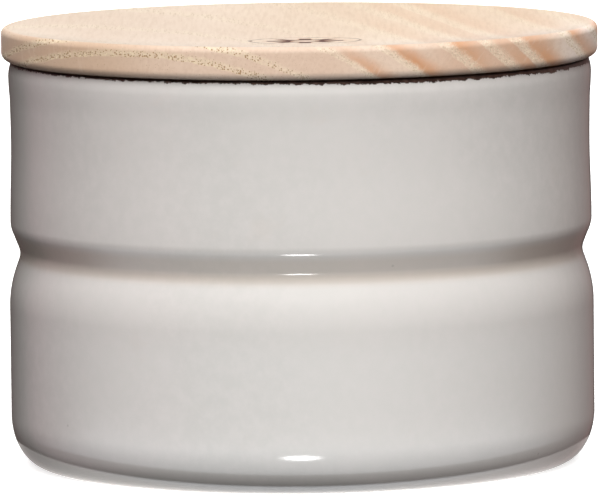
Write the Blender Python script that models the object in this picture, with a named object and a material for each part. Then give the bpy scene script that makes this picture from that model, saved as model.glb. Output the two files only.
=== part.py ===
"""Short cylindrical sugar bowl: an enamelled sheet-steel pot with a roll-formed groove round its middle,
a turned ash lid with a dished top, and the silicone ring that seals the lid's spigot in the pot.

Metres, +Z up. The pot stands on z = 0 with its axis on Z, and the lid is shown closed.
Every piece is a solid of revolution, so each is one profile turned by a Screw modifier.
"""

import math

import bpy

# Driving dimensions. Radii are measured from the Z axis and heights from the table.
STEPS = 64  # facets round every piece
GAP = 0.0003  # clearance between neighbouring pieces

POT_H = 0.0760  # top of the rim
WALL = 0.0011  # steel with enamel on both faces
R_RIM = 0.0546  # outside, just under the rim
R_WAIST = 0.0544  # outside, half way down the upper wall
R_SHOULDER = 0.0547  # outside, just above the groove
R_VALLEY = 0.05296  # outside, at the bottom of the groove
R_LOWER = 0.0550  # outside, below the groove
GROOVE_Z = 0.0399  # height of the groove's deepest line
FLANK_UP = 20.5  # tilt of the groove's upper flank, in degrees
FLANK_DOWN = 19.0  # and of its lower flank
BEND_SHOULDER = 0.0050  # radius of the bend over the upper flank
BEND_VALLEY = 0.0025
BEND_LOWER = 0.0210  # the long bend from the lower flank into the wall
CORNER_IN = 0.0062  # the rounded bottom corner, measured inwards
CORNER_UP = 0.0094  # and upwards
FOOT_W = 0.0030  # flat ring that stands on the table
BASE_RISE = 0.0009  # the base inside that ring is lifted by this
BASE_SLOPE = 0.0030  # width of the slope up to the lifted base

LID_R = 0.0560
LID_T = 0.0061  # thickness of the visible disc
LID_TOP_EDGE = 0.0011  # radius worn round the top edge
LID_LOW_EDGE = 0.0015  # radius round the bottom edge
DISH_DEPTH = 0.0033  # at the centre of the hollowed top
SPIGOT_R = 0.0512
SPIGOT_H = 0.0080
SPIGOT_EDGE = 0.0012
SEAT_R = 0.0494  # floor of the seal's groove
SEAT_H = 0.0042
SEAT_DROP = 0.0019  # from the disc's underside down to the groove

FIN_T = 0.0007  # thickness of a sealing fin at its tip
FIN_ROOT = 0.0012  # and where it leaves the ring
FIN_RISE = 0.0004  # how far a fin's tip lies above its root

CREASE = math.radians(35)  # edges sharper than this are shaded crisp
LID_Z = POT_H + GAP  # underside of the disc
SEAT_TOP = LID_Z - SEAT_DROP


def blend(a, b, t):
    """From a to b along half a cosine, level at both ends."""
    return a + (b - a) * (1 - math.cos(math.pi * t)) / 2


def span(a, b, count):
    """count + 1 values from a to b."""
    return [a + (b - a) * i / count for i in range(count + 1)]


def arc(centre, radii, start, end, count):
    """Points on a quarter or half round, with its radius along r and along z."""
    angles = [math.radians(x) for x in span(start, end, count)]
    return [(centre[0] + radii[0] * math.cos(a), centre[1] + radii[1] * math.sin(a)) for a in angles]


def flank_height(depth, bends, tilt):
    """Height taken by a straight flank and the two bends that lead into it, for a groove of some depth."""
    tilt = math.radians(tilt)
    return bends * math.sin(tilt) + (depth - bends * (1 - math.cos(tilt))) / math.tan(tilt)


def groove():
    """The groove's three bends from top to bottom; the flanks are the straight lines between them."""
    up = flank_height(R_SHOULDER - R_VALLEY, BEND_SHOULDER + BEND_VALLEY, FLANK_UP)
    down = flank_height(R_LOWER - R_VALLEY, BEND_LOWER + BEND_VALLEY, FLANK_DOWN)
    shoulder = (R_SHOULDER - BEND_SHOULDER, GROOVE_Z + up)
    valley = (R_VALLEY + BEND_VALLEY, GROOVE_Z)
    lower = (R_LOWER - BEND_LOWER, GROOVE_Z - down)
    points = arc(shoulder, (BEND_SHOULDER, BEND_SHOULDER), 0, -FLANK_UP, 3)
    points += arc(valley, (BEND_VALLEY, BEND_VALLEY), 180 - FLANK_UP, 180 + FLANK_DOWN, 4)
    return points + arc(lower, (BEND_LOWER, BEND_LOWER), FLANK_DOWN, 0, 4)


def upper_wall(shoulder_z):
    """The slightly waisted wall between the rim and the groove."""
    top = POT_H - WALL / 2
    middle = (top + shoulder_z) / 2
    points = [(blend(R_RIM, R_WAIST, t), top + (middle - top) * t) for t in span(0, 1, 3)]
    return points + [(blend(R_WAIST, R_SHOULDER, t), middle + (shoulder_z - middle) * t) for t in (0.35, 0.7)]


def pot_outside():
    """The pot's outside from under the rim down to the axis beneath the base."""
    bends = groove()
    foot_r = R_LOWER - CORNER_IN
    points = upper_wall(bends[0][1]) + bends
    points += arc((foot_r, CORNER_UP), (CORNER_IN, CORNER_UP), 0, -90, 7)
    for t in span(0, 1, 3):
        points.append((foot_r - FOOT_W - BASE_SLOPE * t, blend(0, BASE_RISE, t)))
    return points + [(0, BASE_RISE)]


def offset(points, distance):
    """The same line moved to its left by a distance, its last point kept on the axis."""
    moved = []
    for i, (r, z) in enumerate(points):
        before, after = points[max(i - 1, 0)], points[min(i + 1, len(points) - 1)]
        dr, dz = after[0] - before[0], after[1] - before[1]
        size = math.hypot(dr, dz)
        moved.append((r + distance * dz / size, z - distance * dr / size))
    moved[0] = (points[0][0] - distance, points[0][1])
    moved[-1] = (0, points[-1][1] + distance)
    return moved


def pot_profile():
    """Up the inside, over the rounded rim and down the outside."""
    outside = pot_outside()
    inside = offset(outside, WALL)
    rim = arc((R_RIM - WALL / 2, POT_H - WALL / 2), (WALL / 2, WALL / 2), 180, 0, 6)
    return inside[::-1] + rim[1:-1] + outside


def lid_profile():
    """From the dish's centre out over the disc, in under it and down the grooved spigot."""
    top = LID_Z + LID_T
    edge = LID_R - LID_TOP_EDGE
    points = [(r, top - DISH_DEPTH * (1 - (r / edge) ** 2)) for r in span(0, edge, 7)]
    points += arc((edge, top - LID_TOP_EDGE), (LID_TOP_EDGE, LID_TOP_EDGE), 90, 0, 4)[1:]
    points += arc((LID_R - LID_LOW_EDGE, LID_Z + LID_LOW_EDGE), (LID_LOW_EDGE, LID_LOW_EDGE), 0, -90, 4)
    points += [(SPIGOT_R, LID_Z), (SPIGOT_R, SEAT_TOP), (SEAT_R, SEAT_TOP)]
    points += [(SEAT_R, SEAT_TOP - SEAT_H), (SPIGOT_R, SEAT_TOP - SEAT_H)]
    bottom = LID_Z - SPIGOT_H
    points += arc((SPIGOT_R - SPIGOT_EDGE, bottom + SPIGOT_EDGE), (SPIGOT_EDGE, SPIGOT_EDGE), 0, -90, 3)
    return points + [(0, bottom)]


def fin(root_z):
    """One sealing fin, from the top of its root out to its tip and back to the root's underside."""
    tip_r = R_WAIST - WALL - GAP
    tip_z = root_z + FIN_RISE
    ring_r = SPIGOT_R - GAP
    return [(ring_r, root_z + FIN_ROOT), (tip_r, tip_z + FIN_T), (tip_r, tip_z), (ring_r, root_z)]


def seal_profile():
    """A flat ring with two upturned fins that stop a gap short of the pot's wall."""
    top, bottom = SEAT_TOP - GAP, SEAT_TOP - SEAT_H + GAP
    inner = SEAT_R + GAP
    return [(inner, top)] + fin(top - FIN_ROOT) + fin(bottom) + [(inner, bottom)]


def material(name, color, roughness, coat=0.0, alpha=1.0):
    mat = bpy.data.materials.new(name)
    mat.use_nodes = True
    shader = mat.node_tree.nodes["Principled BSDF"]
    shader.inputs["Base Color"].default_value = (*color, 1)
    shader.inputs["Roughness"].default_value = roughness
    shader.inputs["Coat Weight"].default_value = coat
    shader.inputs["Alpha"].default_value = alpha
    mat.diffuse_color = (*color, alpha)
    return mat


def turned(name, profile, mat, ring=False):
    """A piece turned from (radius, height) points about the Z axis through its own origin."""
    mesh = bpy.data.meshes.new(name)
    edges = [(i, i + 1) for i in range(len(profile) - 1)]
    if ring:
        edges.append((len(profile) - 1, 0))
    mesh.from_pydata([(r, 0, z) for r, z in profile], edges, [])
    mesh.materials.append(mat)
    piece = bpy.data.objects.new(name, mesh)
    bpy.context.collection.objects.link(piece)
    screw = piece.modifiers.new("Turn", "SCREW")
    screw.axis = "Z"
    screw.steps = screw.render_steps = STEPS
    screw.use_merge_vertices = True
    screw.merge_threshold = 0.00001
    solid = bpy.data.meshes.new_from_object(piece.evaluated_get(bpy.context.evaluated_depsgraph_get()))
    piece.modifiers.clear()
    piece.data = solid
    solid.name = name
    solid.shade_smooth()
    solid.set_sharp_from_angle(angle=CREASE)
    return piece


def main():
    for old in list(bpy.data.objects):
        bpy.data.objects.remove(old, do_unlink=True)
    enamel = material("Grey enamel", (0.62, 0.60, 0.57), 0.12, coat=1.0)
    ash = material("Ash", (0.76, 0.56, 0.37), 0.55)
    silicone = material("Silicone", (0.80, 0.80, 0.77), 0.45, alpha=0.9)
    turned("pot", pot_profile(), enamel)
    turned("lid", lid_profile(), ash)
    turned("seal_ring", seal_profile(), silicone, ring=True)


main()
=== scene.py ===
import math

import bpy
from mathutils import Euler, Matrix, Vector


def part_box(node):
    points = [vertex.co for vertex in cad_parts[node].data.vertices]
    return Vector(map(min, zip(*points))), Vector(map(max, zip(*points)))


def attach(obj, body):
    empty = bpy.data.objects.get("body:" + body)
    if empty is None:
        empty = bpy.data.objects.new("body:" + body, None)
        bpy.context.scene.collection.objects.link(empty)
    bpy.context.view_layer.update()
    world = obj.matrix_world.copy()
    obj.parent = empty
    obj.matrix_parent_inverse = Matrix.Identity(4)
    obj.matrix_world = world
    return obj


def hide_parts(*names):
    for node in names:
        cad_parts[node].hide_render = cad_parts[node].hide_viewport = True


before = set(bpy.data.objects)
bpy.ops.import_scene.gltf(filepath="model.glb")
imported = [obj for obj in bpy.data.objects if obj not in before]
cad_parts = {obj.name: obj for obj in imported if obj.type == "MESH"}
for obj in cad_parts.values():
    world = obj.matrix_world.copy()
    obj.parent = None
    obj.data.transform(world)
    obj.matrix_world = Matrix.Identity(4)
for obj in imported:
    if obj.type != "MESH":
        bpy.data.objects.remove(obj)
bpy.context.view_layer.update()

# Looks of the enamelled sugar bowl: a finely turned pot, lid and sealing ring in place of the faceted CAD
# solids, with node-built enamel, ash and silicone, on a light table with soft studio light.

MM = 0.001

# The shapes repeat the CAD's driving dimensions, with a rounder bottom to the groove; the overall radii and
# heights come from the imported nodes.
POT_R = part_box("pot")[1].x  # below the groove
POT_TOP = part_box("pot")[1].z
LID_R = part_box("lid")[1].x
LID_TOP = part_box("lid")[1].z
LID_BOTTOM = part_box("lid")[0].z
SEAL_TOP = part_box("seal_ring")[1].z
SEAL_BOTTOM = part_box("seal_ring")[0].z
SEAL_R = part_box("seal_ring")[1].x

WALL = 1.1 * MM
R_RIM, R_WAIST, R_SHOULDER = POT_R - 0.4 * MM, POT_R - 0.6 * MM, POT_R - 0.3 * MM
R_VALLEY, GROOVE_Z = POT_R - 2.04 * MM, 39.9 * MM
FLANK_UP, FLANK_DOWN = 21.8, 19.6  # tilt of the groove's flanks, in degrees
BEND_SHOULDER, BEND_VALLEY, BEND_LOWER = 5.0 * MM, 3.6 * MM, 21.0 * MM
CORNER_IN, CORNER_UP = 6.2 * MM, 9.4 * MM
FOOT_W, BASE_RISE, BASE_SLOPE = 3.0 * MM, 0.9 * MM, 3.0 * MM
LIP, LIP_H = 0.38 * MM, 2.3 * MM  # the outside curls in towards the rim by this over this height
FLARE, FLARE_H = 0.17 * MM, 5.0 * MM  # and flares out by this over this height below it

LID_UNDER = POT_TOP + 0.3 * MM  # underside of the disc
LID_TOP_EDGE, LID_LOW_EDGE, DISH_DEPTH = 1.1 * MM, 1.5 * MM, 3.3 * MM
SPIGOT_R, SPIGOT_EDGE, SEAT_R = 51.2 * MM, 1.2 * MM, 49.4 * MM
SEAT_TOP, SEAT_BOTTOM = SEAL_TOP + 0.3 * MM, SEAL_BOTTOM - 0.3 * MM

# Radii at which the ash's growth rings begin, from a pith that runs along Y below the lid's left side, in mm
RINGS = (72.0, 77.5, 82.6, 87.8, 90.8, 97.0, 102.4, 109.2, 114.3, 118.6, 126.2, 131.5, 137.5)


# ---------------------------------------------------------------- shapes

def blend(a, b, t):
    """From a to b along half a cosine, level at both ends."""
    return a + (b - a) * (1 - math.cos(math.pi * t)) / 2


def span(a, b, count):
    """count + 1 values from a to b."""
    return [a + (b - a) * i / count for i in range(count + 1)]


def arc(centre, radii, start, end, count):
    """Points round part of an ellipse, its radii along r and along z, angles in degrees."""
    angles = [math.radians(x) for x in span(start, end, count)]
    return [(centre[0] + radii[0] * math.cos(a), centre[1] + radii[1] * math.sin(a)) for a in angles]


def flank_height(depth, bends, tilt):
    """Height taken by a straight flank and the two bends that lead into it, for a groove of some depth."""
    tilt = math.radians(tilt)
    return bends * math.sin(tilt) + (depth - bends * (1 - math.cos(tilt))) / math.tan(tilt)


def line(start, end, count):
    """Points between two others, leaving both out."""
    return [(start[0] + (end[0] - start[0]) * t, start[1] + (end[1] - start[1]) * t)
            for t in span(0, 1, count)[1:-1]]


def groove():
    """The roll-formed groove from top to bottom: three bends with straight flanks between them."""
    up = flank_height(R_SHOULDER - R_VALLEY, BEND_SHOULDER + BEND_VALLEY, FLANK_UP)
    down = flank_height(POT_R - R_VALLEY, BEND_LOWER + BEND_VALLEY, FLANK_DOWN)
    shoulder = arc((R_SHOULDER - BEND_SHOULDER, GROOVE_Z + up), (BEND_SHOULDER,) * 2, 0, -FLANK_UP, 9)
    valley = arc((R_VALLEY + BEND_VALLEY, GROOVE_Z), (BEND_VALLEY,) * 2, 180 - FLANK_UP, 180 + FLANK_DOWN, 12)
    lower = arc((POT_R - BEND_LOWER, GROOVE_Z - down), (BEND_LOWER,) * 2, FLANK_DOWN, 0, 14)
    points = shoulder + line(shoulder[-1], valley[0], 6) + valley
    return points + line(valley[-1], lower[0], 3) + lower


def upper_wall(shoulder_z, lip):
    """The slightly waisted wall between the rim and the groove, with the flare and the curl at its top."""
    top = POT_TOP - WALL / 2
    middle = (top + shoulder_z) / 2
    points = []
    for z in span(top, top - LIP_H, 12) + span(top - LIP_H, shoulder_z, 28)[1:-1]:
        if z > middle:
            r = blend(R_RIM, R_WAIST, (top - z) / (top - middle))
        else:
            r = blend(R_WAIST, R_SHOULDER, (middle - z) / (middle - shoulder_z))
        flare = blend(1, 0, min(1, max(0, (top - LIP_H - z) / FLARE_H)))
        curl = max(0, 1 - (top - z) / LIP_H)
        points.append((r + FLARE * flare - lip * curl * curl, z))
    return points


def pot_outside(lip):
    """The pot's outside from under the rim down to the axis beneath the base."""
    bends = groove()
    foot_r = POT_R - CORNER_IN
    points = upper_wall(bends[0][1], lip) + bends + line(bends[-1], (POT_R, CORNER_UP), 8)
    points += arc((foot_r, CORNER_UP), (CORNER_IN, CORNER_UP), 0, -90, 30)
    for t in span(0, 1, 8):
        points.append((foot_r - FOOT_W - BASE_SLOPE * t, blend(0, BASE_RISE, t)))
    return points + [(r, BASE_RISE) for r in span(foot_r - FOOT_W - BASE_SLOPE, 0, 10)[1:]]


def offset(points, distance):
    """The same line moved to its left by a distance, its last point kept on the axis."""
    moved = []
    for i, (r, z) in enumerate(points):
        before, after = points[max(i - 1, 0)], points[min(i + 1, len(points) - 1)]
        dr, dz = after[0] - before[0], after[1] - before[1]
        size = math.hypot(dr, dz)
        moved.append((r + distance * dz / size, z - distance * dr / size))
    moved[0] = (points[0][0] - distance, points[0][1])
    moved[-1] = (0, points[-1][1] + distance)
    return moved


def pot_profile():
    """Up the inside, over the rounded rim and down the outside, whose curl leaves the inside straight."""
    inside, outside = offset(pot_outside(0), WALL)[::-1], pot_outside(LIP)
    inner_r, outer_r = inside[-1][0], outside[0][0]
    rim = arc(((inner_r + outer_r) / 2, POT_TOP - WALL / 2), ((outer_r - inner_r) / 2, WALL / 2), 180, 0, 14)
    return inside + rim[1:-1] + outside


def lid_profile():
    """From the dish's centre out over the disc, in under it and down the grooved spigot."""
    edge = LID_R - LID_TOP_EDGE
    points = [(r, LID_TOP - DISH_DEPTH * (1 - (r / edge) ** 2)) for r in span(0, edge, 40)]
    points += arc((edge, LID_TOP - LID_TOP_EDGE), (LID_TOP_EDGE, LID_TOP_EDGE), 84, 0, 9)
    side = span(LID_TOP - LID_TOP_EDGE, LID_UNDER + LID_LOW_EDGE, 6)
    points += [(LID_R, z) for z in side[1:-1]]
    low = (LID_R - LID_LOW_EDGE, LID_UNDER + LID_LOW_EDGE)
    points += arc(low, (LID_LOW_EDGE, LID_LOW_EDGE), 0, -90, 9)
    nick = 0.15 * MM  # corners of the turned seat, eased by sandpaper
    points += [(SPIGOT_R, LID_UNDER), (SPIGOT_R, SEAT_TOP + nick), (SPIGOT_R - nick, SEAT_TOP)]
    points += [(SEAT_R, SEAT_TOP), (SEAT_R, SEAT_BOTTOM), (SPIGOT_R - nick, SEAT_BOTTOM)]
    points += [(SPIGOT_R, SEAT_BOTTOM - nick)]
    low = (SPIGOT_R - SPIGOT_EDGE, LID_BOTTOM + SPIGOT_EDGE)
    points += arc(low, (SPIGOT_EDGE, SPIGOT_EDGE), 0, -90, 7)
    return points + [(r, LID_BOTTOM) for r in span(SPIGOT_R - SPIGOT_EDGE, 0, 12)[1:]]


def fin(root_z):
    """One upturned sealing fin with a rounded tip, from the top of its root round to the underside."""
    ring_r, thick, rise = SPIGOT_R - 0.3 * MM, 0.35 * MM, 0.4 * MM
    tip = (SEAL_R - thick, root_z + rise + thick)
    return [(ring_r, root_z + 1.2 * MM)] + arc(tip, (thick, thick), 80, -80, 8) + [(ring_r, root_z)]


def seal_profile():
    inner = SEAT_R + 0.3 * MM
    return [(inner, SEAL_TOP)] + fin(SEAL_TOP - 1.2 * MM) + fin(SEAL_BOTTOM) + [(inner, SEAL_BOTTOM)]


def turned(name, profile, segments, ring=False):
    """A smooth solid of revolution about Z from (radius, height) points running down its outer side."""
    verts, rows = [], []
    for r, z in profile:
        if r < 1e-7:
            rows.append([len(verts)] * segments)
            verts.append((0, 0, z))
            continue
        rows.append(list(range(len(verts), len(verts) + segments)))
        turns = [2 * math.pi * k / segments for k in range(segments)]
        verts += [(r * math.cos(a), r * math.sin(a), z) for a in turns]
    pairs = list(zip(rows, rows[1:]))
    if ring:
        pairs.append((rows[-1], rows[0]))
    faces = []
    for upper, lower in pairs:
        for k in range(segments):
            n = (k + 1) % segments
            corners = [upper[k], lower[k], lower[n], upper[n]]
            faces.append([c for i, c in enumerate(corners) if c not in corners[:i]])
    mesh = bpy.data.meshes.new(name)
    mesh.from_pydata(verts, [], faces)
    mesh.shade_smooth()
    mesh.set_sharp_from_angle(angle=math.radians(40))
    piece = bpy.data.objects.new(name, mesh)
    bpy.context.scene.collection.objects.link(piece)
    return piece


# ---------------------------------------------------------------- materials

class Nodes:
    """Builds the nodes of a material or world; each call adds a node and returns the output it's used by."""

    def __init__(self, owner, coordinates="Object"):
        owner.use_nodes = True
        self.owner, self.tree = owner, owner.node_tree
        self.shader = self.tree.nodes.get("Principled BSDF")
        self.place = self.add("ShaderNodeTexCoord").outputs[coordinates]

    def add(self, kind, **settings):
        node = self.tree.nodes.new(kind)
        for key, value in settings.items():
            setattr(node, key, value)
        return node

    def put(self, socket, value):
        """Sets a socket to a number or colour, or links it to another node's output."""
        if isinstance(value, bpy.types.NodeSocket):
            self.tree.links.new(value, socket)
        elif isinstance(value, tuple) and len(value) == 3 and socket.type == "RGBA":
            socket.default_value = (*value, 1)
        else:
            socket.default_value = value

    def set(self, **values):
        for key, value in values.items():
            self.put(self.shader.inputs[key.replace("_", " ")], value)

    def math(self, operation, *values, clamp=False):
        node = self.add("ShaderNodeMath", operation=operation, use_clamp=clamp)
        for socket, value in zip(node.inputs, values):
            self.put(socket, value)
        return node.outputs[0]

    def vector(self, operation, *values):
        node = self.add("ShaderNodeVectorMath", operation=operation)
        for socket, value in zip(node.inputs, values):
            self.put(socket, value)
        return node.outputs["Value" if operation in ("LENGTH", "DOT_PRODUCT") else "Vector"]

    def between(self, value, low, high, smooth=True):
        """0 at low and 1 at high."""
        node = self.add("ShaderNodeMapRange", interpolation_type="SMOOTHSTEP" if smooth else "LINEAR")
        for socket, given in zip(node.inputs, (value, low, high, 0.0, 1.0)):
            self.put(socket, given)
        return node.outputs[0]

    def mix(self, factor, a, b, blend_type="MIX"):
        node = self.add("ShaderNodeMix", data_type="RGBA", blend_type=blend_type)
        self.put(node.inputs["Factor"], factor)
        self.put(node.inputs[6], a)
        self.put(node.inputs[7], b)
        return node.outputs[2]

    def noise(self, scale, detail=2.0, place=None, roughness=0.5, stretch=None, distortion=0.0):
        node = self.add("ShaderNodeTexNoise")
        at = place or self.place
        if stretch:
            at = self.vector("MULTIPLY", at, stretch)
        self.put(node.inputs["Vector"], at)
        node.inputs["Scale"].default_value = scale
        node.inputs["Detail"].default_value = detail
        node.inputs["Roughness"].default_value = roughness
        node.inputs["Distortion"].default_value = distortion
        return node.outputs["Fac"]

    def cells(self, scale, place=None, feature="F1", randomness=1.0):
        node = self.add("ShaderNodeTexVoronoi", feature=feature)
        self.put(node.inputs["Vector"], place or self.place)
        node.inputs["Scale"].default_value = scale
        node.inputs["Randomness"].default_value = randomness
        return node.outputs

    def split(self, vector):
        node = self.add("ShaderNodeSeparateXYZ")
        self.put(node.inputs[0], vector)
        return node.outputs

    def join(self, x, y, z):
        node = self.add("ShaderNodeCombineXYZ")
        for socket, value in zip(node.inputs, (x, y, z)):
            self.put(socket, value)
        return node.outputs[0]

    def ramp(self, factor, stops):
        node = self.add("ShaderNodeValToRGB")
        self.put(node.inputs[0], factor)
        elements = node.color_ramp.elements
        while len(elements) < len(stops):
            elements.new(1.0)
        for element, (place, color) in zip(elements, stops):
            element.position, element.color = place, (*color, 1)
        return node.outputs[0]

    def bump(self, height, distance, strength=1.0, normal=None):
        node = self.add("ShaderNodeBump")
        self.put(node.inputs["Height"], height)
        node.inputs["Distance"].default_value = distance
        node.inputs["Strength"].default_value = strength
        if normal:
            self.put(node.inputs["Normal"], normal)
        return node.outputs[0]


def enamel():
    """Light grey glossy enamel that stops short of the rim, where the dark ground coat shows."""
    n = Nodes(bpy.data.materials.new("Grey_enamel"))
    x, y, z = n.split(n.place)
    radius = n.vector("LENGTH", n.join(x, y, 0.0))

    cloud = n.noise(22, 3)
    mottle = n.noise(420, 4, roughness=0.65)
    grey = n.mix(n.between(cloud, 0.35, 0.65), (0.612, 0.592, 0.566), (0.637, 0.616, 0.588))
    grey = n.mix(n.between(mottle, 0.3, 0.75), grey, (0.652, 0.624, 0.600))
    # painted light: the wall below the groove is painted a little lighter, standing in for light bounced up from the
    # table
    thick = n.between(n.math("ADD", z, n.math("MULTIPLY", cloud, 6 * MM)), 37 * MM, 27 * MM)
    grey = n.mix(thick, grey, (1.042, 1.052, 1.058), "MULTIPLY")
    # painted shade: the groove is painted darker and warmer where its flanks turn away from the light
    painted_groove_shade = n.between(n.math("ABSOLUTE", n.math("SUBTRACT", z, 41.3 * MM)), 3.4 * MM, 1.5 * MM)
    grey = n.mix(painted_groove_shade, grey, (0.925, 0.870, 0.815), "MULTIPLY")
    # painted shade: darker towards the bottom corner, where the contact shadow falls
    grey = n.mix(n.between(z, 5.2 * MM, 3.2 * MM), grey, (0.86, 0.85, 0.85), "MULTIPLY")
    dots = n.cells(300)
    rare = n.math("GREATER_THAN", n.split(dots["Color"])[0], 0.955)
    speck = n.math("MULTIPLY", rare, n.between(dots["Distance"], 0.10, 0.03))
    grey = n.mix(n.math("MULTIPLY", speck, 0.32), grey, (0.25, 0.23, 0.21))
    blush = n.math("MULTIPLY", n.between(n.noise(75, 4, roughness=0.7), 0.60, 0.76), 0.10)
    grey = n.mix(blush, grey, (0.66, 0.55, 0.47))

    # the ragged end of the enamel, in metres below the top of the rim
    ragged = n.between(n.noise(620, 5, stretch=(1, 1, 0.7), roughness=0.78), 0.32, 0.68)
    uneven = n.between(n.noise(24, 2, stretch=(1, 1, 0.1)), 0.42, 0.68)
    depth = n.math("ADD", n.math("MULTIPLY", ragged, 0.55 * MM), n.math("MULTIPLY", uneven, 0.22 * MM))
    depth = n.math("ADD", depth, n.math("MULTIPLY", n.between(x, -45 * MM, 45 * MM), 0.34 * MM))
    line = n.math("SUBTRACT", POT_TOP - 0.04 * MM, depth)
    bare = n.between(n.math("SUBTRACT", z, line), -0.03 * MM, 0.05 * MM)
    # three small marks where the pot stood on pins in the kiln
    turn = n.math("ARCTAN2", y, x)
    third = n.math("MULTIPLY", n.math("ABSOLUTE", n.math("SINE", n.math("MULTIPLY", turn, 1.5))), 31 * MM)
    off_ring = n.math("ABSOLUTE", n.math("SUBTRACT", radius, POT_R - CORNER_IN - FOOT_W / 2))
    away = n.vector("LENGTH", n.join(third, off_ring, z))
    pin = n.between(n.math("ADD", away, n.math("MULTIPLY", ragged, 0.8 * MM)), 1.5 * MM, 1.2 * MM)
    bare = n.math("MAXIMUM", bare, pin)

    brown = n.mix(n.between(n.noise(900, 3), 0.35, 0.7), (0.026, 0.013, 0.009), (0.085, 0.048, 0.036))
    n.set(Base_Color=n.mix(bare, grey, brown))
    gloss = n.math("ADD", n.math("MULTIPLY", n.noise(300, 2), 0.05), 0.065)
    n.set(Roughness=n.math("ADD", gloss, n.math("MULTIPLY", bare, 0.33)), IOR=1.52)
    skin = n.math("ADD", n.math("MULTIPLY", n.noise(190, 2), 0.6), n.math("MULTIPLY", n.noise(60, 1), 0.4))
    normal = n.bump(skin, 0.02 * MM, 0.5)
    edge = n.math("SUBTRACT", 1.0, bare)
    n.set(Normal=n.bump(edge, 0.08 * MM, 0.6, normal))
    return n.owner


def ash():
    """Ash with its pith below the left side of the lid, so rings arch over the rim's end grain."""
    n = Nodes(bpy.data.materials.new("Ash_wood"))
    x, y, z = n.split(n.place)
    across = n.math("ADD", x, 39 * MM)
    above = n.math("SUBTRACT", z, LID_TOP - 90.4 * MM)
    above = n.math("ADD", above, n.math("MULTIPLY", n.math("ADD", y, 40 * MM), 0.155))
    sway = n.math("MULTIPLY", n.math("SUBTRACT", n.noise(24, 2, stretch=(1, 0.4, 1)), 0.5), 2.4 * MM)
    fray = n.math("MULTIPLY", n.math("SUBTRACT", n.noise(420, 2, stretch=(1, 0.1, 1)), 0.5), 0.9 * MM)
    ring_r = n.math("ADD", n.math("ADD", n.vector("LENGTH", n.join(across, above, 0.0)), sway), fray)

    # where the last ring began, and how far past that this point lies
    began = RINGS[0] * MM
    for last, this in zip(RINGS, RINGS[1:]):
        begun = n.math("GREATER_THAN", ring_r, this * MM)
        began = n.math("ADD", n.math("MULTIPLY", begun, (this - last) * MM), began)
    since = n.math("SUBTRACT", ring_r, began)
    width = n.math("ADD", n.math("MULTIPLY", n.between(began, 99 * MM, 108 * MM), 0.9 * MM), 1.5 * MM)
    share = n.math("DIVIDE", since, width)
    porous = n.math("MULTIPLY", n.between(share, 1.15, 0.55), n.between(since, 0.0, 0.25 * MM))

    fibre = n.noise(1500, 3, stretch=(1, 0.06, 1))
    fine = n.noise(4200, 2, stretch=(1, 0.05, 1))
    patch = n.noise(34, 3, stretch=(1, 0.4, 1))
    spin = n.math("MULTIPLY", n.math("ARCTAN2", above, across), 100 * MM)
    rays = n.noise(1900, 1, place=n.join(spin, n.math("MULTIPLY", ring_r, 0.12), n.math("MULTIPLY", y, 0.3)))

    # on the sanded dish the rings are fainter and the far right side yellower; the dish also carries painted shade,
    # darker than the rim and darkest towards its front
    radius = n.vector("LENGTH", n.join(x, y, 0.0))
    top = n.between(radius, LID_R - 0.5 * MM, LID_R - 1.8 * MM)
    top = n.math("MULTIPLY", top, n.between(z, LID_UNDER, LID_TOP - 4 * MM))
    clear = n.math("SUBTRACT", 1.0, n.math("MULTIPLY", top, 0.68))

    tan = n.mix(n.between(patch, 0.32, 0.68), (0.715, 0.540, 0.418), (0.780, 0.618, 0.492))
    old = n.math("MULTIPLY", n.between(x, -18 * MM, -40 * MM), clear)
    tan = n.mix(n.math("MULTIPLY", old, 0.75), tan, (0.600, 0.415, 0.280))
    rosy = n.math("MULTIPLY", n.between(x, 20 * MM, 30 * MM), n.between(x, 50 * MM, 42 * MM))
    tan = n.mix(n.math("MULTIPLY", n.math("MULTIPLY", rosy, clear), 0.75), tan, (0.660, 0.440, 0.310))
    tan = n.mix(n.math("MULTIPLY", n.between(x, 46 * MM, 51 * MM), clear), tan, (0.840, 0.710, 0.620))
    warm = n.math("MULTIPLY", n.between(share, 2.7, 0.95), n.between(share, 0.4, 0.9))
    warm = n.math("MULTIPLY", warm, n.between(patch, 0.36, 0.58))
    warm = n.math("MULTIPLY", warm, n.math("ADD", n.math("MULTIPLY", n.between(x, -10 * MM, 24 * MM), 0.88), 0.12))
    wood = n.mix(n.math("MULTIPLY", warm, clear), tan, (0.630, 0.315, 0.160))

    # pores run along the grain: pale-walled tubes, crowded in the porous bands and sparse elsewhere
    tubes = n.cells(3100, place=n.vector("MULTIPLY", n.place, (1, 0.07, 1)))
    wall = n.between(tubes["Distance"], 0.62, 0.25)
    pale = n.math("MULTIPLY", n.math("MULTIPLY", porous, clear), n.math("ADD", n.math("MULTIPLY", wall, 0.65), 0.35))
    cream = n.mix(n.between(x, 5 * MM, -20 * MM), (0.865, 0.735, 0.570), (0.860, 0.735, 0.520))
    wood = n.mix(pale, wood, cream)
    wood = n.mix(n.math("MULTIPLY", n.between(fibre, 0.40, 0.72), 0.26), wood, (0.560, 0.390, 0.275))
    wood = n.mix(n.math("MULTIPLY", n.between(rays, 0.55, 0.75), 0.18), wood, (0.820, 0.680, 0.550))
    chance = n.split(tubes["Color"])[0]
    open_r = n.math("MULTIPLY", n.math("ADD", n.math("MULTIPLY", porous, 0.27), 0.12), n.math("ADD", chance, 0.40))
    pore = n.between(n.math("SUBTRACT", tubes["Distance"], open_r), 0.06, -0.06)
    pore = n.math("MULTIPLY", pore, n.math("GREATER_THAN", n.math("ADD", chance, porous), 0.75))
    stain = n.math("MULTIPLY", n.math("ADD", n.math("MULTIPLY", n.between(x, 10 * MM, -10 * MM), 0.5), 0.4), clear)
    wood = n.mix(n.math("MULTIPLY", pore, stain), wood, (0.370, 0.205, 0.090))

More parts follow.
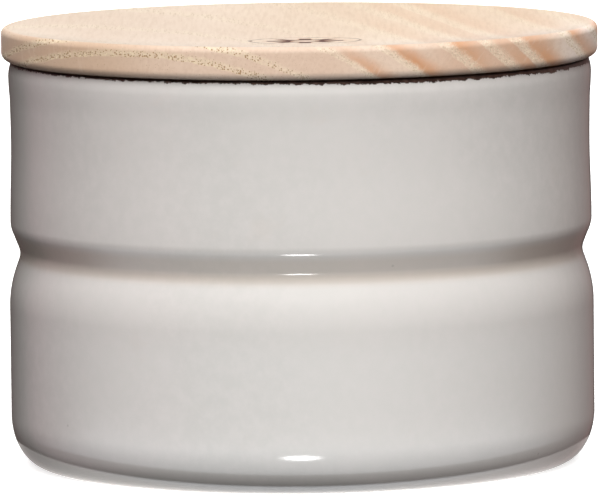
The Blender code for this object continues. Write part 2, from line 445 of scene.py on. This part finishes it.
    far_right = n.math("MULTIPLY", n.between(x, -35 * MM, 25 * MM), n.between(y, -35 * MM, 20 * MM))
    # painted shade: the dish is darkened against the rim, most of all towards its front (-Y)
    painted_top_shade = n.mix(far_right, (0.90, 0.95, 0.97), (0.89, 0.90, 0.84))
    painted_top_shade = n.mix(n.between(y, 0.0, -36 * MM), painted_top_shade, (0.725, 0.755, 0.765))
    wood = n.mix(top, wood, n.mix(1.0, wood, painted_top_shade, "MULTIPLY"))
    # painted light: the rim's top edge is lightened as a painted highlight, its rounded bottom edge as painted light
    # bounced up from below
    painted_edge_light = n.math("MAXIMUM", n.between(z, LID_UNDER + 1.7 * MM, LID_UNDER + 0.3 * MM),
                  n.between(n.math("ADD", radius, z), LID_R + LID_TOP - 1.3 * MM, LID_R + LID_TOP - 0.8 * MM))
    painted_edge_light = n.math("MULTIPLY", painted_edge_light, n.between(radius, SPIGOT_R + 1 * MM, SPIGOT_R + 3 * MM))
    wood = n.mix(painted_edge_light, wood, (1.04, 1.07, 1.10), "MULTIPLY")

    # a mark burnt into the middle of the dish: a thin oval round eight short strokes, of no meaning
    mark = n.join(n.math("SUBTRACT", x, 1.1 * MM), n.math("MULTIPLY", y, 1.4), 0.0)
    reach = n.vector("LENGTH", mark)
    turn = n.math("ARCTAN2", n.math("MULTIPLY", y, 1.4), n.math("SUBTRACT", x, 1.1 * MM))
    side = n.math("MULTIPLY", n.math("ABSOLUTE", n.math("SINE", n.math("MULTIPLY", turn, 4.0))), reach)
    rough = n.math("MULTIPLY", n.math("SUBTRACT", n.noise(700, 3), 0.5), 0.9 * MM)
    side, mid = n.math("ADD", side, rough), n.math("ABSOLUTE", n.math("SUBTRACT", reach, 5.0 * MM))
    stroke = n.math("MULTIPLY", n.between(side, 4.4 * MM, 3.6 * MM), n.between(mid, 2.4 * MM, 2.0 * MM))
    scorch = n.math("MULTIPLY", n.between(side, 5.6 * MM, 3.8 * MM), n.between(mid, 3.4 * MM, 2.0 * MM))
    scorch = n.math("MULTIPLY", n.math("MULTIPLY", scorch, top), 0.65)
    wood = n.mix(scorch, wood, (0.430, 0.185, 0.070))
    oval = n.math("ABSOLUTE", n.math("SUBTRACT", reach, 10.4 * MM))
    oval = n.math("MULTIPLY", n.between(n.math("ADD", oval, rough), 0.45 * MM, 0.15 * MM), 0.6)
    burnt = n.math("MULTIPLY", n.math("MAXIMUM", stroke, oval), top)
    wood = n.mix(burnt, wood, (0.070, 0.016, 0.003))

    rough = n.math("ADD", n.math("ADD", n.math("MULTIPLY", fibre, 0.2), 0.48), n.math("MULTIPLY", burnt, 0.4))
    n.set(Base_Color=wood, Roughness=rough, IOR=1.45, Diffuse_Roughness=0.3)
    n.set(Sheen_Weight=0.1, Sheen_Roughness=0.45, Sheen_Tint=(1.0, 0.98, 0.95))
    height = n.math("ADD", n.math("MULTIPLY", fibre, 0.30), n.math("MULTIPLY", fine, 0.12))
    height = n.math("SUBTRACT", n.math("SUBTRACT", height, n.math("MULTIPLY", pore, 0.6)), burnt)
    n.set(Normal=n.bump(height, 0.06 * MM, 0.5))
    return n.owner


def silicone():
    """Milky silicone with a little dust on it."""
    n = Nodes(bpy.data.materials.new("Silicone"))
    dust = n.between(n.noise(900, 4, roughness=0.7), 0.5, 0.8)
    n.set(Base_Color=n.mix(n.math("MULTIPLY", dust, 0.4), (0.74, 0.73, 0.69), (0.84, 0.83, 0.80)))
    n.set(Roughness=n.math("ADD", n.math("MULTIPLY", dust, 0.2), 0.52), Specular_IOR_Level=0.3)
    n.set(Subsurface_Weight=0.25, Subsurface_Scale=0.002)
    return n.owner


def light_table():
    """Pale translucent table, lit from beneath."""
    n = Nodes(bpy.data.materials.new("Light_table"))
    n.set(Base_Color=(0.90, 0.90, 0.90), Roughness=0.8, Emission_Color=(1.0, 1.0, 1.0))
    n.set(Emission_Strength=0.68)
    return n.owner


# ---------------------------------------------------------------- light and camera

def sun(name, azimuth, elevation, strength, width, color=(1, 1, 1), glossy=False):
    """A far soft light, its azimuth turning from the camera's side towards +X."""
    data = bpy.data.lights.new(name, "SUN")
    data.energy, data.angle, data.color = strength, math.radians(width), color
    light = bpy.data.objects.new(name, data)
    light.rotation_euler = (math.radians(90 - elevation), 0, math.radians(azimuth))
    light.visible_glossy = glossy
    bpy.context.scene.collection.objects.link(light)
    return light


def glow(name, corners, look):
    """A flat lamp that is seen only in reflections and lets them through; look(nodes) gives radiance and colour."""
    n = Nodes(bpy.data.materials.new(name))
    radiance, color = look(n)
    emitter = n.add("ShaderNodeEmission")
    n.put(emitter.inputs["Color"], color)
    n.put(emitter.inputs["Strength"], radiance)
    both = n.add("ShaderNodeAddShader")
    n.put(both.inputs[0], emitter.outputs[0])
    n.put(both.inputs[1], n.add("ShaderNodeBsdfTransparent").outputs[0])
    n.put(n.tree.nodes["Material Output"].inputs["Surface"], both.outputs[0])
    n.tree.nodes.remove(n.shader)
    mesh = bpy.data.meshes.new(name)
    mesh.from_pydata(corners, [], [(0, 1, 2, 3)])
    mesh.materials.append(n.owner)
    lamp = bpy.data.objects.new(name, mesh)
    bpy.context.scene.collection.objects.link(lamp)
    lamp.visible_camera = lamp.visible_diffuse = lamp.visible_shadow = lamp.visible_transmission = False


def upright(x, y, z, half_width, half_height):
    """Corners of a rectangle that faces the pot from in front or behind."""
    return [(x + i * half_width, y, z + j * half_height) for i, j in ((-1, -1), (1, -1), (1, 1), (-1, 1))]


def backdrop(n):
    """A white board far behind, which the lid's top and the pot's edges catch at a grazing angle."""
    x, y, z = n.split(n.place)
    middle = n.between(n.math("ABSOLUTE", x), 200 * MM, 110 * MM)
    return n.math("MULTIPLY", n.math("MULTIPLY", n.between(z, 900 * MM, 300 * MM), middle), 1.9), (1.0, 1.0, 1.0)


def low_lamp(n):
    """A small soft-edged lamp in front of the pot and below it."""
    x, y, z = n.split(n.place)
    wide = n.math("DIVIDE", n.math("ADD", x, 2 * MM), 23 * MM)
    high = n.math("DIVIDE", n.math("ADD", z, 37 * MM), 11 * MM)
    soft = n.between(n.vector("LENGTH", n.join(wide, high, 0.0)), 1.0, 0.25)
    return n.math("MULTIPLY", soft, 30.0), (1.0, 1.0, 1.0)


def table_glow(n):
    """Painted reflection of the table for the enamel: painted light in front of the pot and under its foot, and a
    painted shadow of the pot as a dark ring round the foot.
    """
    x, y, z = n.split(n.place)
    inner = n.vector("LENGTH", n.join(x, n.math("SUBTRACT", y, 7.0 * MM), 0.0))
    outer = n.vector("LENGTH", n.join(x, n.math("SUBTRACT", y, 12.5 * MM), 0.0))
    front = n.between(y, 15 * MM, -58 * MM)
    bright = n.math("ADD", n.math("MULTIPLY", n.math("POWER", front, 3.0), 4.3), 0.4)
    under = n.math("MULTIPLY", n.between(inner, 60.0 * MM, 59.1 * MM), bright)
    open_table = n.math("MULTIPLY", n.between(outer, 69.0 * MM, 70.0 * MM), n.between(outer, 190 * MM, 80 * MM))
    out = n.math("MULTIPLY", n.math("MULTIPLY", open_table, n.math("POWER", front, 2.0)), 1.5)
    color = n.mix(n.between(outer, 62 * MM, 67 * MM), (1.0, 0.97, 0.94), (0.90, 0.98, 1.06))
    return n.math("ADD", under, out), color


def surroundings():
    """White where the camera sees past the table, and a dim room with warmer sides for everything else."""
    world = bpy.context.scene.world = bpy.data.worlds.new("Studio")
    n = Nodes(world, "Generated")
    x, y, z = n.split(n.place)
    room = n.mix(n.between(x, -0.54, -0.86), (0.100, 0.072, 0.068), (0.52, 0.27, 0.31))
    room = n.mix(n.between(x, 0.16, 0.30), room, (0.27, 0.17, 0.16))
    room = n.mix(n.between(x, 0.55, 0.88), room, (0.42, 0.26, 0.23))
    ray = n.add("ShaderNodeLightPath").outputs
    color = n.mix(ray["Is Glossy Ray"], (0.062, 0.059, 0.057), room)
    color = n.mix(ray["Is Camera Ray"], color, (1.0, 1.0, 1.0))
    n.put(n.tree.nodes["Background"].inputs["Color"], color)


def table():
    mesh = bpy.data.meshes.new("Floor")
    mesh.from_pydata([(-4, -4, 0), (4, -4, 0), (4, 4, 0), (-4, 4, 0)], [], [(0, 1, 2, 3)])
    mesh.materials.append(light_table())
    floor = bpy.data.objects.new("Floor", mesh)
    bpy.context.scene.collection.objects.link(floor)
    floor.location.z = -0.05 * MM
    # translucent: the enamel reflects the lamp beneath it, and no grey light bounces onto the bowl
    floor.visible_glossy = floor.visible_diffuse = floor.visible_shadow = False


def camera():
    data = bpy.data.cameras.new("Camera")
    data.sensor_width, data.lens = 36, 450.6
    data.clip_start, data.clip_end = 0.05, 20
    eye = bpy.data.objects.new("Camera", data)
    turn = Euler((math.radians(90 - 6.064), 0, math.radians(0.0105))).to_matrix().to_4x4()
    roll = Matrix.Rotation(math.radians(-0.599), 4, "Z")
    eye.matrix_world = Matrix.Translation((0, -1.4068, 0.18957)) @ turn @ roll
    bpy.context.scene.collection.objects.link(eye)
    bpy.context.scene.camera = eye


# ---------------------------------------------------------------- assembly

def add_piece(name, profile, segments, material, node, body, ring=False):
    piece = turned(name, profile, segments, ring)
    piece.data.materials.append(material)
    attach(piece, body)
    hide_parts(node)
    return piece


add_piece("Enamelled_pot", pot_profile(), 256, enamel(), "pot", "pot")
add_piece("Ash_lid", lid_profile(), 256, ash(), "lid", "lid")
add_piece("Silicone_ring", seal_profile(), 192, silicone(), "seal_ring", "seal", ring=True)

table()
surroundings()
sun("Key", 1, 45.5, 4.5, 50)
sun("Back", 180, 10, 2.4, 40)
glow("Low_lamp", upright(-2 * MM, -157 * MM, -37 * MM, 24 * MM, 13 * MM), low_lamp)
glow("Backdrop", upright(0, 1.5, 0.45, 0.20, 0.45), backdrop)
glow("Table_glow", [(x * 0.2, y * 0.2, -0.02 * MM) for x, y in ((-1, -1), (1, -1), (1, 1), (-1, 1))], table_glow)
camera()
bpy.context.scene.view_settings.view_transform = "Standard"
